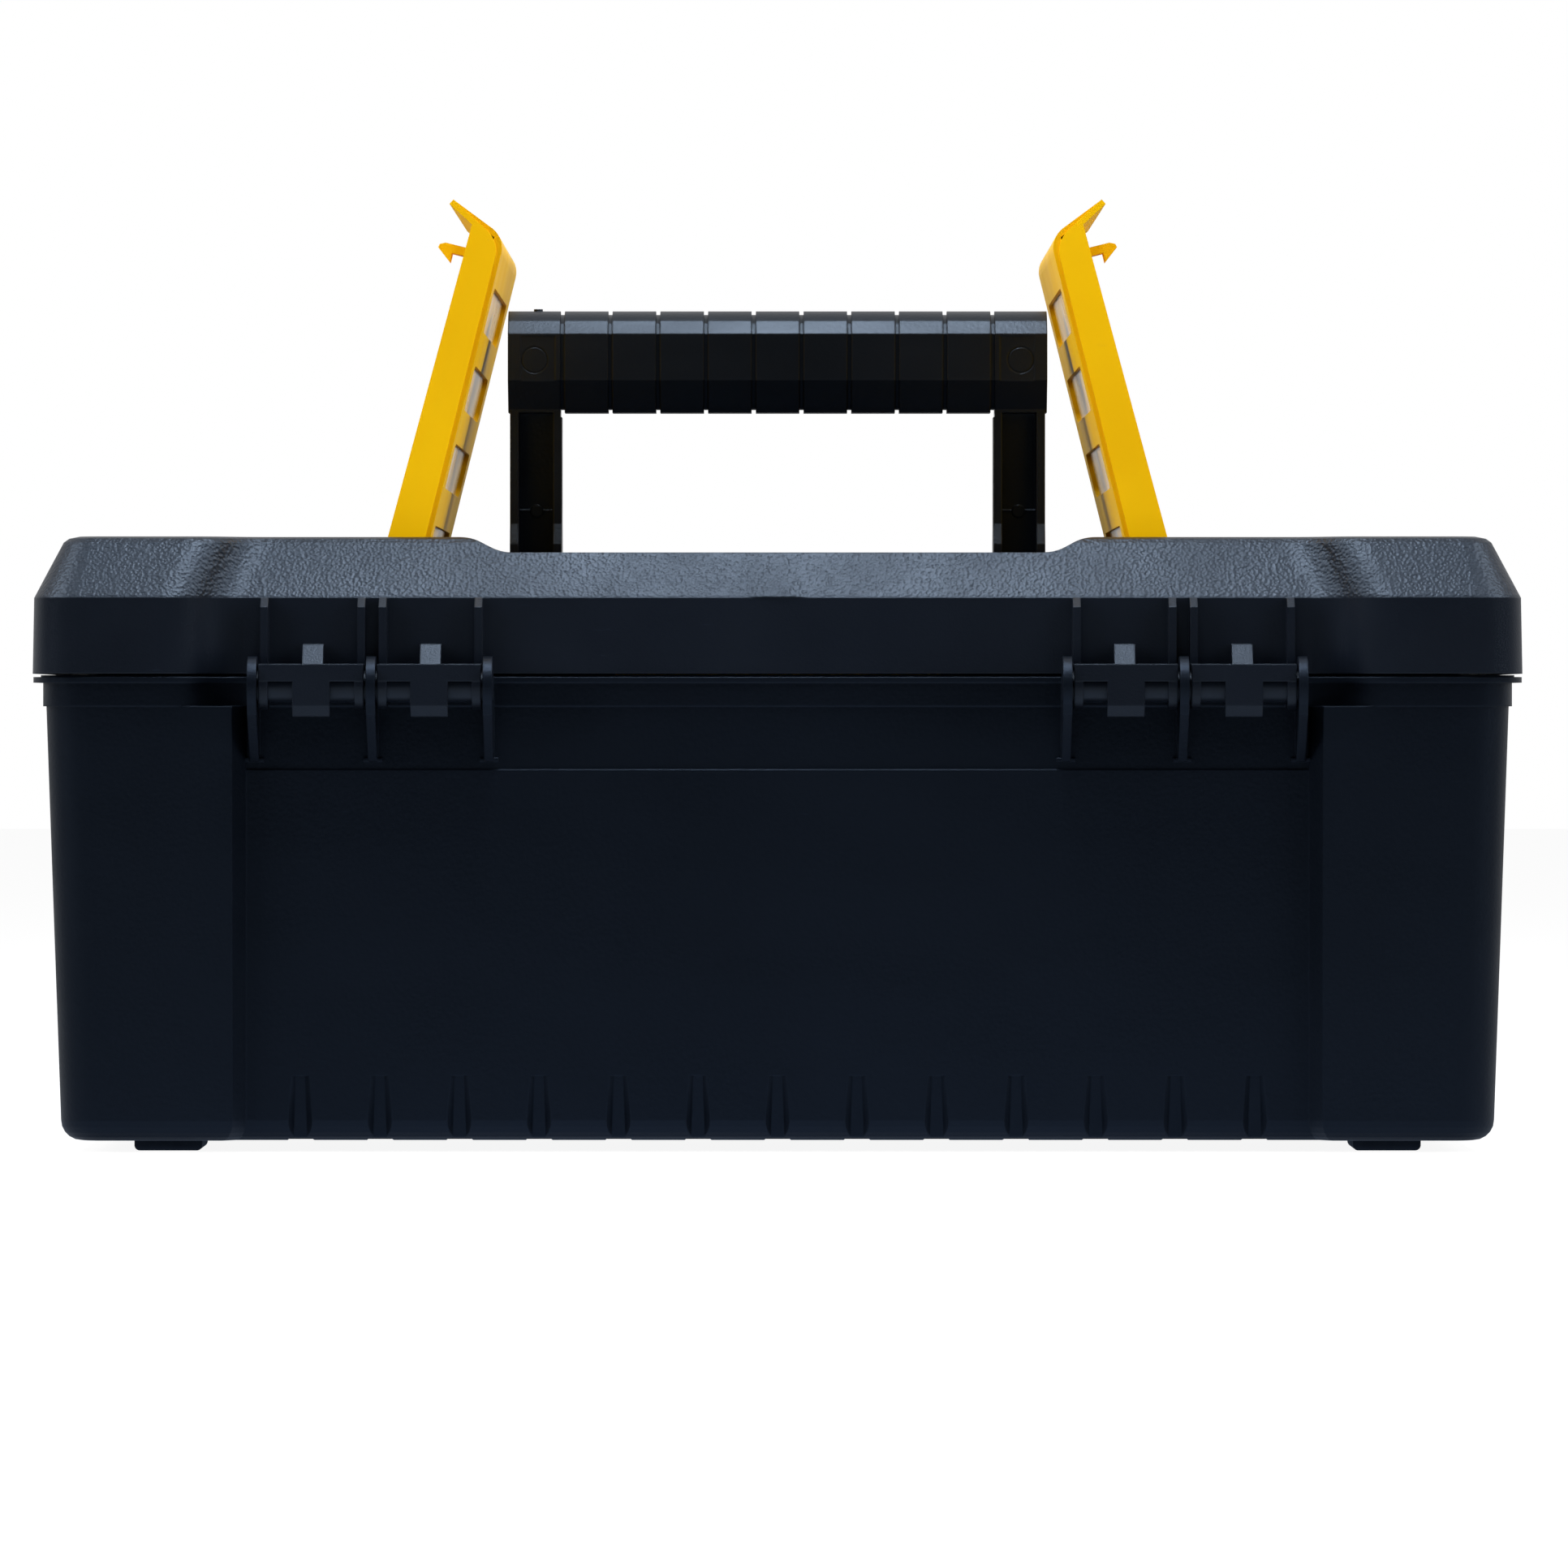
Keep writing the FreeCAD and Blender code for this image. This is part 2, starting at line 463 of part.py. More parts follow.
def saddle_tool():
    """Shallow cut that lowers the middle of the lid's top, with an S-shaped run at each end."""
    ease = (SADDLE_RAMP_X - SADDLE_X) / 2
    roof_z = LID_TOP_Z + 1
    edges = [Part.makeLine(V(-SADDLE_X, 0, SADDLE_Z), V(SADDLE_X, 0, SADDLE_Z)),
             Part.makeLine(V(-SADDLE_RAMP_X, 0, roof_z), V(SADDLE_RAMP_X, 0, roof_z))]
    for side in (-1, 1):
        run = Part.BezierCurve()
        run.setPoles([V(side * SADDLE_X, 0, SADDLE_Z), V(side * (SADDLE_X + ease), 0, SADDLE_Z),
                      V(side * (SADDLE_RAMP_X - ease), 0, LID_TOP_Z),
                      V(side * SADDLE_RAMP_X, 0, LID_TOP_Z)])
        edges.append(run.toShape())
        edges.append(Part.makeLine(V(side * SADDLE_RAMP_X, 0, LID_TOP_Z),
                                   V(side * SADDLE_RAMP_X, 0, roof_z)))
    section = Part.Face(Part.Wire(Part.__sortEdges__(edges)))
    section.translate(V(0, -LID_Y - 1, 0))
    return section.extrude(V(0, 2 * LID_Y + 2, 0))


def middle_swell():
    """Shallow swelling of the rear slope's middle that spreads and rises towards the band."""
    slope = (LID_BAND_Y - LID_SLOPE_Y) / (LID_SLOPE_Z - LID_BAND_Z)
    wires = []
    for z, half_foot, half_top, rise in SWELL_SECTIONS:
        y = -LID_BAND_Y + LID_REAR_STEP + slope * (z - LID_BAND_Z)
        corners = [V(-half_foot, y, z), V(-half_top, y - rise, z), V(half_top, y - rise, z),
                   V(half_foot, y, z), V(half_foot, y + 1, z), V(-half_foot, y + 1, z)]
        wires.append(Part.makePolygon(corners + corners[:1]))
    return Part.makeLoft(wires, True, True)


def well_block():
    """Tub under the carry handle, before it is hollowed."""
    return box((-WELL_X - WELL_WALL, WELL_X + WELL_WALL),
               (WELL_REAR_Y - WELL_WALL, WELL_FRONT_Y + WELL_WALL),
               (WELL_FLOOR_Z - WELL_WALL, SADDLE_Z))


def well_tool():
    """Inside of the handle well."""
    room = box((-WELL_X, WELL_X), (WELL_REAR_Y, WELL_FRONT_Y), (WELL_FLOOR_Z, LID_TOP_Z + 1))
    upright = [e for e in room.Edges if abs(e.tangentAt(0).z) > 0.5]
    return room.makeFillet(4.0, upright)


def well_ear(side):
    """Plate in the well that holds the inner end of a handle pin."""
    x = (side * WELL_EAR_X, side * (WELL_EAR_X + WELL_EAR_W))
    return prism_x([(-7, WELL_FLOOR_Z - 0.5), (7, WELL_FLOOR_Z - 0.5), (4, WELL_EAR_TOP),
                    (-4, WELL_EAR_TOP)], x)


def clip_unit(span):
    """Moulded clip on the lid that wraps a hinge pin between two ears."""
    left, right = span
    centre = (left + right) / 2
    wall_y = -LID_Y + LID_REAR_STEP + WALL / 2
    rear_y = HINGE_Y - CLIP_DISC_R
    parts = [rod(V(x, HINGE_Y, HINGE_Z), CLIP_DISC_R, CLIP_DISC_W, X_AXIS)
             for x in (left, right - CLIP_DISC_W)]
    parts.append(box(span, (rear_y, wall_y), (CLIP_SHELF_Z - CLIP_SKIN, CLIP_SHELF_Z)))
    parts.append(box(span, (rear_y, rear_y + CLIP_SKIN), (CLIP_APRON_Z, CLIP_SHELF_Z)))
    tab = (centre - TAB_W / 2, centre + TAB_W / 2)
    parts.append(prism_x([(rear_y, CLIP_APRON_Z + 1), (rear_y, TAB_BEND_Z),
                          (rear_y + 2.0, TAB_FOOT_Z), (rear_y + 2.7, TAB_FOOT_Z + 1),
                          (rear_y + CLIP_SKIN, TAB_BEND_Z + 0.6),
                          (rear_y + CLIP_SKIN, CLIP_APRON_Z + 1)], tab))
    parts.append(prism_x([(wall_y, CLIP_SHELF_Z - 0.5), (wall_y - RAMP_RUN - WALL / 2, CLIP_SHELF_Z - 0.5),
                          (wall_y - WALL / 2 - 0.6, CLIP_SHELF_Z + RAMP_H),
                          (wall_y, CLIP_SHELF_Z + RAMP_H)],
                         (centre - RAMP_W / 2, centre + RAMP_W / 2)))
    for x in (left, right - RIB_W):
        rib_y = wall_y - WALL / 2 - RIB_DEPTH
        parts.append(prism_x([(wall_y, CLIP_SHELF_Z - 0.5), (rib_y, CLIP_SHELF_Z - 0.5),
                              (rib_y, LID_BAND_Z - RIB_SLANT),
                              (wall_y - WALL / 2, LID_BAND_Z), (wall_y, LID_BAND_Z)],
                             (x, x + RIB_W)))
    return parts


def latch_ears():
    """Pair of plates on the front of the lid at each side of the right latch."""
    wall_y = LID_Y - LID_FRONT_STEP - WALL / 2
    shapes = []
    for side in (-1, 1):
        inner = LATCH_X + side * (LATCH_HALF_W + LATCH_EAR_GAP)
        x = sorted((inner, inner + side * LATCH_EAR_W))
        shapes.append(rod(V(x[0], LATCH_Y, LATCH_Z), LATCH_R + 0.4, LATCH_EAR_W, X_AXIS))
        shapes.append(prism_x([(wall_y, LATCH_Z + 5.5), (LATCH_Y, LATCH_Z + LATCH_R + 0.4),
                               (LATCH_Y, LATCH_Z - LATCH_R - 0.4), (wall_y, LATCH_Z - 5.5)], x))
    return shapes


def lid_shell():
    """Lid with its roof, organizer pans, handle well, hinge clips and latch ears."""
    outside = lid_outside()
    shell = outside.cut(lid_hollow())
    saddle = box((-SADDLE_RAMP_X - 1, SADDLE_RAMP_X + 1), (-LID_Y, LID_Y),
                 (SADDLE_Z - WALL, LID_TOP_Z)).common(outside)
    adds = [saddle, well_block()]
    for block in pan_blocks(outside):
        adds += both_sides(block)
    shell = fuse([shell] + adds)
    cuts = [saddle_tool(), well_tool()]
    for tool in [pocket_tool()] + pan_cuts():
        cuts += both_sides(tool)
    shell = shell.cut(cuts)
    adds = [well_ear(-1), well_ear(1), middle_swell()]
    adds += padlock_eye(EYE_LID_Z, LID_Y - LID_FRONT_STEP - WALL / 2)
    for span in CLIP_SPANS:
        for part in clip_unit(span):
            adds += both_sides(part)
    for part in latch_ears():
        adds += both_sides(part)
    shell = fuse([shell] + adds)
    holes = [eye_hole(EYE_LID_Z)]
    for side in (-1, 1):
        way = X_AXIS * side
        holes.append(rod(V(side * (EAR_X[0] + 1), HINGE_Y, HINGE_Z), HINGE_PIN_R + RUN,
                         EAR_X[2] - EAR_X[0] - 2, way))
        holes.append(rod(V(side * WELL_EAR_X, 0, HANDLE_PIVOT_Z), HANDLE_PIN_R,
                         WELL_X + WELL_WALL - WELL_EAR_X, way))
        holes.append(rod(V(side * FLAP_AXIS_X, -POCKET_WALL_Y, FLAP_AXIS_Z), FLAP_PIN_R,
                         2 * POCKET_WALL_Y, Y_AXIS))
        outer = LATCH_HALF_W + LATCH_EAR_GAP + LATCH_EAR_W
        holes.append(rod(V(side * LATCH_X - outer, LATCH_Y, LATCH_Z), LATCH_PIN_R, 2 * outer, X_AXIS))
    return shell.cut(holes)


# ---------------------------------------------------------------- organizer flaps

def flap_profile(end_u, top):
    """Closed (u, w) section of a flap: roof, rounded end and finger lip."""
    along = V(FLAP_LIP_U - end_u, 0, FLAP_LIP_W - top).normalize()
    inward = V(along.z, 0, -along.x)
    corner = V(end_u, 0, top)
    tip = V(FLAP_LIP_U, 0, FLAP_LIP_W)
    turn_start = V(end_u - FLAP_END_R, 0, top)
    turn_end = corner + along * FLAP_END_R
    middle = (turn_start + turn_end) * 0.5
    bow = middle + (corner - middle) * 0.45
    inner_tip = tip + inward * FLAP_LIP_T
    inner_top = inner_tip - along * ((inner_tip.z - top + FLAP_SKIN) / along.z)
    start = V(0, 0, top)
    under = V(0, 0, top - FLAP_SKIN)
    edges = [Part.makeLine(start, turn_start), Part.Arc(turn_start, bow, turn_end).toShape(),
             Part.makeLine(turn_end, tip), Part.makeLine(tip, inner_tip),
             Part.makeLine(inner_tip, inner_top), Part.makeLine(inner_top, under),
             Part.makeLine(under, start)]
    return Part.Face(Part.Wire(edges))


def flap_slice(end_u, top, y_from, y_to):
    """Part of a flap between two Y values: roof, lip and the barrel round the axis."""
    roof = flap_profile(end_u, top)
    roof.translate(V(0, y_from, 0))
    length = y_to - y_from
    return [roof.extrude(V(0, length, 0)), rod(V(0, y_from, 0), top, length, Y_AXIS)]


def lip_u(w, top):
    """How far out the middle of the finger lip's thickness is at a height."""
    share = (top - w) / (top - FLAP_LIP_W)
    return FLAP_END_U + (FLAP_LIP_U - FLAP_END_U) * share - FLAP_LIP_T / 2


def flap_closed():
    """Flap with its axis on the Y axis through the origin, closed, reaching along +X."""
    inner_y = FLAP_HALF_Y - FLAP_SIDE
    parts = flap_slice(FLAP_END_U + FLAP_ROOF_U, FLAP_TOP, -inner_y, inner_y)
    top = FLAP_TOP - FLAP_SIDE_DROP
    parts += flap_slice(FLAP_END_U, top, -FLAP_HALF_Y, FLAP_HALF_Y)
    for side in (-1, 1):
        outer = side * FLAP_HALF_Y
        shoulder_w = top - FLAP_END_R
        parts.append(prism_y([(0, top), (FLAP_END_U - FLAP_END_R, top),
                              (lip_u(shoulder_w, top), shoulder_w),
                              (lip_u(SKIRT_END_W, top), SKIRT_END_W), (0, SKIRT_HINGE_W)],
                             sorted((outer, outer - side * FLAP_SIDE))))
    parts.append(prism_y([(HOOK_U, FLAP_TOP - 1), (HOOK_U, HOOK_BARB_W),
                          (HOOK_U - HOOK_BARB, HOOK_BARB_W), (HOOK_U + 0.5, HOOK_REACH),
                          (HOOK_U + 1.3, HOOK_REACH + 0.2), (HOOK_U + HOOK_T, HOOK_REACH + 1.4),
                          (HOOK_U + HOOK_T, FLAP_TOP - 1)],
                         (-HOOK_W / 2, HOOK_W / 2)))
    flap = fuse(parts)
    cuts = [rod(V(0, -FLAP_HALF_Y - 1, 0), FLAP_PIN_R + RUN, 2 * FLAP_HALF_Y + 2, Y_AXIS)]
    for u in FLUTE_U:
        width = FLUTE_FIRST_W if u == FLUTE_U[0] else FLUTE_W
        flute = box((u - width / 2, u + width / 2), (-FLUTE_L / 2, FLUTE_L / 2),
                    (FLAP_TOP - FLUTE_DEPTH, FLAP_TOP + 1))
        upright = [e for e in flute.Edges if abs(e.tangentAt(0).z) > 0.5]
        cuts.append(flute.makeFillet(FLUTE_R, upright))
    return flap.cut(cuts)


def organizer_lid(side):
    """Flap in its open place, leaning towards the handle; side is -1 for the left one."""
    flap = flap_closed()
    flap.rotate(V(0, 0, 0), Y_AXIS, -FLAP_OPEN_DEG)
    flap.translate(flap_axis(1))
    return flap if side > 0 else mirror_x(flap)


def organizer_pin(side):
    """Rod that a flap swings on, held in the pocket's two end walls."""
    return rod(V(side * FLAP_AXIS_X, -POCKET_WALL_Y, FLAP_AXIS_Z), FLAP_PIN_R, 2 * POCKET_WALL_Y, Y_AXIS)


# ---------------------------------------------------------------- carry handle

def grip_section(inset):
    """Side-view face of the grip: arched top, flat flanks and chamfered foot."""
    half = GRIP_HALF_Y - inset
    top = GRIP_TOP_Z - inset
    low = GRIP_BOTTOM_Z + inset
    foot_y = GRIP_FOOT_Y - inset * 0.5
    arch_y, arch_z = GRIP_ARCH_Y - inset * 0.7, GRIP_ARCH_Z - inset * 0.7
    flank = [(arch_y, arch_z), (half, GRIP_SHOULDER_Z), (half, GRIP_LOW_Z),
             (foot_y + 0.7, low + GRIP_STRIP), (foot_y, low)]
    points = [V(0, y, z) for y, z in flank] + [V(0, -y, z) for y, z in reversed(flank)]
    edges = [Part.makeLine(a, b) for a, b in zip(points, points[1:])]
    edges.append(Part.Arc(points[-1], V(0, 0, top), points[0]).toShape())
    return Part.Face(Part.Wire(edges))


def grip_rings():
    """Grooves round the grip, as rings to cut away."""
    rings = []
    for i in range(GRIP_GROOVES):
        x = (i - (GRIP_GROOVES - 1) / 2) * GRIP_PITCH - GRIP_GROOVE_W / 2
        core = grip_section(GRIP_GROOVE_D)
        core.translate(V(x, 0, 0))
        slab = box((x, x + GRIP_GROOVE_W), (-GRIP_HALF_Y - 1, GRIP_HALF_Y + 1),
                   (GRIP_BOTTOM_Z - 1, GRIP_TOP_Z + 1))
        rings.append(slab.cut(core.extrude(V(GRIP_GROOVE_W, 0, 0))))
    return rings


def handle_leg():
    """Right leg: a channel open to the rear, wider where it nears its pivot."""
    x = (HANDLE_LEG_IN, HANDLE_LEG_OUT)
    width = x[1] - x[0]
    flare = [(LEG_HALF_Y, GRIP_LOW_Z), (LEG_HALF_Y, LEG_FLARE_Z[1]),
             (LEG_FOOT_HALF_Y, LEG_FLARE_Z[0]), (LEG_FOOT_HALF_Y, HANDLE_PIVOT_Z)]
    sides = prism_x(flare + [(-y, z) for y, z in reversed(flare)], x)
    leg = fuse([sides, rod(V(x[0], 0, HANDLE_PIVOT_Z), LEG_FOOT_HALF_Y, width, X_AXIS)])
    inner_x = (x[0] + LEG_FLANGE, x[1] - LEG_FLANGE)
    web_y = LEG_HALF_Y - LEG_WEB
    leg = leg.cut(box(inner_x, (-LEG_FOOT_HALF_Y - 1, web_y), (LEG_CHANNEL_Z, GRIP_BOTTOM_Z)))
    middle = (x[0] + x[1]) / 2
    boss = rod(V(middle, web_y - LEG_MARK_LINE, LEG_MARK_Z), LEG_MARK_R, LEG_WEB, Y_AXIS)
    line = box(inner_x, (web_y - LEG_MARK_LINE / 2, web_y + LEG_WEB / 2),
               (LEG_MARK_Z, LEG_MARK_Z + LEG_MARK_LINE))
    return fuse([leg, boss, line])


def end_block_marks(side):
    """Shallow moulding marks on the rear flank of one end of the grip, as tools to cut away."""
    face_y = -GRIP_HALF_Y
    field = box((side * EJECTOR_FIELD_X[0], side * EJECTOR_FIELD_X[1]),
                (face_y - 1, face_y + MARK_DEPTH), EJECTOR_FIELD_Z)
    centre = V(side * EJECTOR_X, face_y - 1, EJECTOR_Z)
    disc = rod(centre, EJECTOR_R, 1 + 2 * MARK_DEPTH, Y_AXIS)
    core = rod(centre, EJECTOR_R - EJECTOR_LINE, 1 + 2 * MARK_DEPTH, Y_AXIS)
    return [field, disc.cut(core)]


def handle():
    """Carry handle, standing up."""
    grip = grip_section(0.0)
    grip.translate(V(-HANDLE_HALF_X, 0, 0))
    grip = grip.extrude(V(2 * HANDLE_HALF_X, 0, 0))
    gate = rod(V(GATE_X, 0, GRIP_TOP_Z - 1), GATE_R, 1 + GATE_H, Z_AXIS)
    whole = fuse([grip, gate] + both_sides(handle_leg()))
    pivot_reach = HANDLE_LEG_OUT + 1
    bore = rod(V(-pivot_reach, 0, HANDLE_PIVOT_Z), HANDLE_PIN_R + RUN, 2 * pivot_reach, X_AXIS)
    return whole.cut(grip_rings() + [bore] + end_block_marks(-1) + end_block_marks(1))


def handle_pin(side):
    """Pin through a handle leg, from the well's ear to its side wall."""
    return rod(V(side * WELL_EAR_X, 0, HANDLE_PIVOT_Z), HANDLE_PIN_R,
               WELL_X + WELL_WALL - WELL_EAR_X, X_AXIS * side)


# ---------------------------------------------------------------- latches

def latch(side):
    """Front latch: barrel, curved plate, inner nib and flared finger edge."""
    x = (LATCH_X - LATCH_HALF_W, LATCH_X + LATCH_HALF_W)
    barrel = rod(V(x[0], LATCH_Y, LATCH_Z), LATCH_R, x[1] - x[0], X_AXIS)
    plate = prism_x([(LATCH_IN_Y, LATCH_Z), (LATCH_Y + LATCH_R, LATCH_Z),
                     (LATCH_OUT_Y, LATCH_Z - 5), (LATCH_OUT_Y, LATCH_FLARE_Z),
                     (LATCH_FLARE_Y, LATCH_FOOT_Z + 1), (LATCH_FLARE_Y, LATCH_FOOT_Z),
                     (LATCH_FLARE_Y - 2, LATCH_FOOT_Z), (LATCH_IN_Y, LATCH_FLARE_Z - 1)], x)
    nib = prism_x([(LATCH_IN_Y + 1, NIB_Z[1]), (NIB_Y, NIB_Z[1]), (NIB_Y, NIB_Z[1] - 1),
                   (LATCH_IN_Y, NIB_Z[0] - 1.5), (LATCH_IN_Y + 1, NIB_Z[0] - 1.5)],
                  (x[0] + 4, x[1] - 4))
    whole = fuse([barrel, plate, nib])
    corners = [e for e in whole.Edges if e.BoundBox.YMin > LATCH_FLARE_Y - 2.1
               and e.BoundBox.ZMax < LATCH_FOOT_Z + 0.1 and e.BoundBox.XLength < 1e-6]
    whole = whole.makeChamfer(1.2, corners)
    grooves = [box((x[0] + 5, x[1] - 5), (LATCH_OUT_Y - 0.6, LATCH_OUT_Y + 1), (z, z + 1.2))
               for z in (88.5, 91.0, 93.5)]
    bore = rod(V(x[0] - 1, LATCH_Y, LATCH_Z), LATCH_PIN_R + RUN, x[1] - x[0] + 2, X_AXIS)
    whole = whole.cut(grooves + [bore])
    return whole if side > 0 else mirror_x(whole)


def latch_pin(side):
    """Pin that a latch turns on, held in the lid's two ears."""
    outer = LATCH_HALF_W + LATCH_EAR_GAP + LATCH_EAR_W
    return rod(V(side * LATCH_X - outer, LATCH_Y, LATCH_Z), LATCH_PIN_R, 2 * outer, X_AXIS)


def front_badge():
    """Blank plate on the front panel with a raised border."""
    plate = box((-BADGE_HALF_X, BADGE_HALF_X), (PANEL_FRONT_Y, PANEL_FRONT_Y + BADGE_T), BADGE_Z)
    upright = [e for e in plate.Edges if abs(e.tangentAt(0).y) > 0.5]
    plate = plate.makeFillet(4.0, upright)
    field = box((-BADGE_HALF_X + BADGE_BORDER, BADGE_HALF_X - BADGE_BORDER),
                (PANEL_FRONT_Y + BADGE_T - 0.5, PANEL_FRONT_Y + BADGE_T + 1),
                (BADGE_Z[0] + BADGE_BORDER, BADGE_Z[1] - BADGE_BORDER))
    upright = [e for e in field.Edges if abs(e.tangentAt(0).y) > 0.5]
    return plate.cut(field.makeFillet(2.5, upright))


# ---------------------------------------------------------------- tray

def tray():
    """Open tray with a lengthwise wall and guides for two loose dividers."""
    outer = box((-TRAY_HALF_X, TRAY_HALF_X), (TRAY_REAR_Y, TRAY_FRONT_Y), (TRAY_Z, TRAY_TOP_Z))
    upright = [e for e in outer.Edges if abs(e.tangentAt(0).z) > 0.5]
    outer = outer.makeFillet(TRAY_CORNER, upright)
    flange = box((-TRAY_HALF_X - TRAY_FLANGE, TRAY_HALF_X + TRAY_FLANGE),
                 (TRAY_REAR_Y - TRAY_FLANGE, TRAY_FRONT_Y + TRAY_FLANGE),
                 (TRAY_TOP_Z - TRAY_WALL, TRAY_TOP_Z))
    upright = [e for e in flange.Edges if abs(e.tangentAt(0).z) > 0.5]
    flange = flange.makeFillet(TRAY_CORNER + TRAY_FLANGE, upright)
    room = box((-TRAY_HALF_X + TRAY_WALL, TRAY_HALF_X - TRAY_WALL),
               (TRAY_REAR_Y + TRAY_WALL, TRAY_FRONT_Y - TRAY_WALL),
               (TRAY_Z + TRAY_WALL, TRAY_TOP_Z + 1))
    upright = [e for e in room.Edges if abs(e.tangentAt(0).z) > 0.5]
    room = room.makeFillet(TRAY_CORNER - TRAY_WALL, upright)
    shell = fuse([outer, flange]).cut(room)
    inner_x = TRAY_HALF_X - TRAY_WALL / 2
    parts = [shell, box((-inner_x, inner_x), (TRAY_SPLIT_Y - TRAY_WALL / 2, TRAY_SPLIT_Y + TRAY_WALL / 2),
                        (TRAY_Z + 1, TRAY_SPLIT_TOP))]
    wall_in = TRAY_FRONT_Y - TRAY_WALL
    split_in = TRAY_SPLIT_Y + TRAY_WALL / 2
    for x in (-DIVIDER_X, DIVIDER_X):
        for side in (-1, 1):
            near = x + side * (DIVIDER_T / 2 + GUIDE_GAP)
            span = sorted((near, near + side * GUIDE_T))
            parts.append(box(span, (wall_in - GUIDE_L, wall_in + 0.5), (TRAY_Z + 1, DIVIDER_TOP)))
            parts.append(box(span, (split_in - 0.5, split_in + GUIDE_L), (TRAY_Z + 1, DIVIDER_TOP)))
    return fuse(parts)


def tray_divider(x):
    """Loose cross wall in the front half of the tray."""
    y_range = (TRAY_SPLIT_Y + TRAY_WALL / 2 + 0.2, TRAY_FRONT_Y - TRAY_WALL - 0.2)
    return box((x - DIVIDER_T / 2, x + DIVIDER_T / 2), y_range, (TRAY_Z + TRAY_WALL, DIVIDER_TOP - 2))


def tray_handle():
    """Grip that straddles the tray's lengthwise wall."""
    centre = TRAY_SPLIT_Y
    y_range = (centre - TRAY_GRIP_HALF_Y, centre + TRAY_GRIP_HALF_Y)
    block = box((-TRAY_GRIP_HALF_X, TRAY_GRIP_HALF_X), y_range, (TRAY_GRIP_FOOT_Z, TRAY_GRIP_TOP))
    upright = [e for e in block.Edges if e.BoundBox.YLength > 1
               and e.BoundBox.ZMin > TRAY_GRIP_TOP - 0.1]
    block = block.makeFillet(6.0, upright)
    inner = TRAY_GRIP_HALF_X - TRAY_GRIP_LEG
    window = box((-inner, inner), (centre - TRAY_GRIP_HALF_X, centre + TRAY_GRIP_HALF_X),
                 (TRAY_GRIP_FOOT_Z - 1, TRAY_GRIP_TOP - TRAY_GRIP_BAR))
    slot = box((-TRAY_GRIP_HALF_X - 1, TRAY_GRIP_HALF_X + 1),
               (centre - TRAY_WALL / 2 - 0.1, centre + TRAY_WALL / 2 + 0.1),
               (TRAY_GRIP_FOOT_Z - 1, TRAY_SPLIT_TOP + 0.1))
    return block.cut([window, slot])


def export(name, shape):
    """Check that a node is whole and write it."""
    solids = shape.Solids
    shape = solids[0] if len(solids) == 1 else Part.makeCompound(solids)
    print(f"{name:22s} solids {len(solids)} valid {shape.isValid()} volume {shape.Volume / 1000:.2f} cm3")
    shape.exportStep(os.path.join("parts", name + ".step"))


def main():
    """Build every node of the toolbox."""
    os.makedirs("parts", exist_ok=True)
    export("body_shell", body_shell())
    export("lid_shell", lid_shell())
    for row, y in (("rear", -FOOT_Y), ("front", FOOT_Y)):
        for name, side in (("left", -1), ("right", 1)):
            export(f"foot_{row}_{name}", foot(side * FOOT_X, y))
    for name, side in (("left", -1), ("right", 1)):
        export(f"hinge_pin_{name}", hinge_pin(side))
        export(f"organizer_lid_{name}", organizer_lid(side))
        export(f"organizer_pin_{name}", organizer_pin(side))
        export(f"handle_pin_{name}", handle_pin(side))
        export(f"latch_{name}", latch(side))
        export(f"latch_pin_{name}", latch_pin(side))
        export(f"tray_divider_{name}", tray_divider(side * DIVIDER_X))
    export("handle", handle())
    export("front_badge", front_badge())
    export("tray", tray())
    export("tray_handle", tray_handle())


main()
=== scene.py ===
"""Looks of the plastic toolbox: moulded-plastic materials and the studio."""

import json
import math

import bpy
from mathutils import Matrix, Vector


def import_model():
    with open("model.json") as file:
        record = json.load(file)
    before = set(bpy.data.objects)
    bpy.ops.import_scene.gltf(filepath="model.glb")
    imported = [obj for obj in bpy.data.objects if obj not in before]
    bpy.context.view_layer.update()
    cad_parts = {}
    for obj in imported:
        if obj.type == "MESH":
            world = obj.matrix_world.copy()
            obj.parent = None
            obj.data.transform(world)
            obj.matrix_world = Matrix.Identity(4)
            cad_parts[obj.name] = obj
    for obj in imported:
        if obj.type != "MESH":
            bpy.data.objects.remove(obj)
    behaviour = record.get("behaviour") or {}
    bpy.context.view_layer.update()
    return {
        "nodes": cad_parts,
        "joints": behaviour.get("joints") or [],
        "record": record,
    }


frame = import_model()
NODES = frame["nodes"]
JOINTS = {j["name"]: j for j in frame["joints"]}
MM = 0.001

# ---------------------------------------------------------------- sizes

# Organizer flaps: how far they stand open, and the flutes in their roofs
FLAP_OPEN = math.radians(104)
FLUTE_FLOOR = 3.0 * MM      # of the flutes' floors above the flap's axis
FLUTE_HALF = 47.0 * MM

GRAIN_FROM_Z = 119.2 * MM   # the lid's band ends and its grained slope begins
EDGE_RADIUS = 0.45 * MM     # moulded rounding of sharp edges
THIN_RADIUS = 0.12 * MM     # the same on thin yellow pieces

# Features of the surfaces, by their size
TONE_SIZE = 60 * MM         # slow change of colour over a panel
FLOW_SIZE = 25 * MM         # flow marks of the moulding
WAVE_SIZE, WAVE_DEPTH = 14 * MM, 0.06 * MM      # slight waviness of a moulded wall
SCUFF_SIZE = 2.5 * MM
LID_GRAIN, LID_GRAIN_DEPTH = 0.75 * MM, 0.12 * MM


def srgb(r, g, b):
    """Linear colour from display values of 0 to 255."""
    def linear(v):
        v /= 255
        return v / 12.92 if v < 0.04045 else ((v + 0.055) / 1.055) ** 2.4
    return (linear(r), linear(g), linear(b), 1)


# ---------------------------------------------------------------- materials

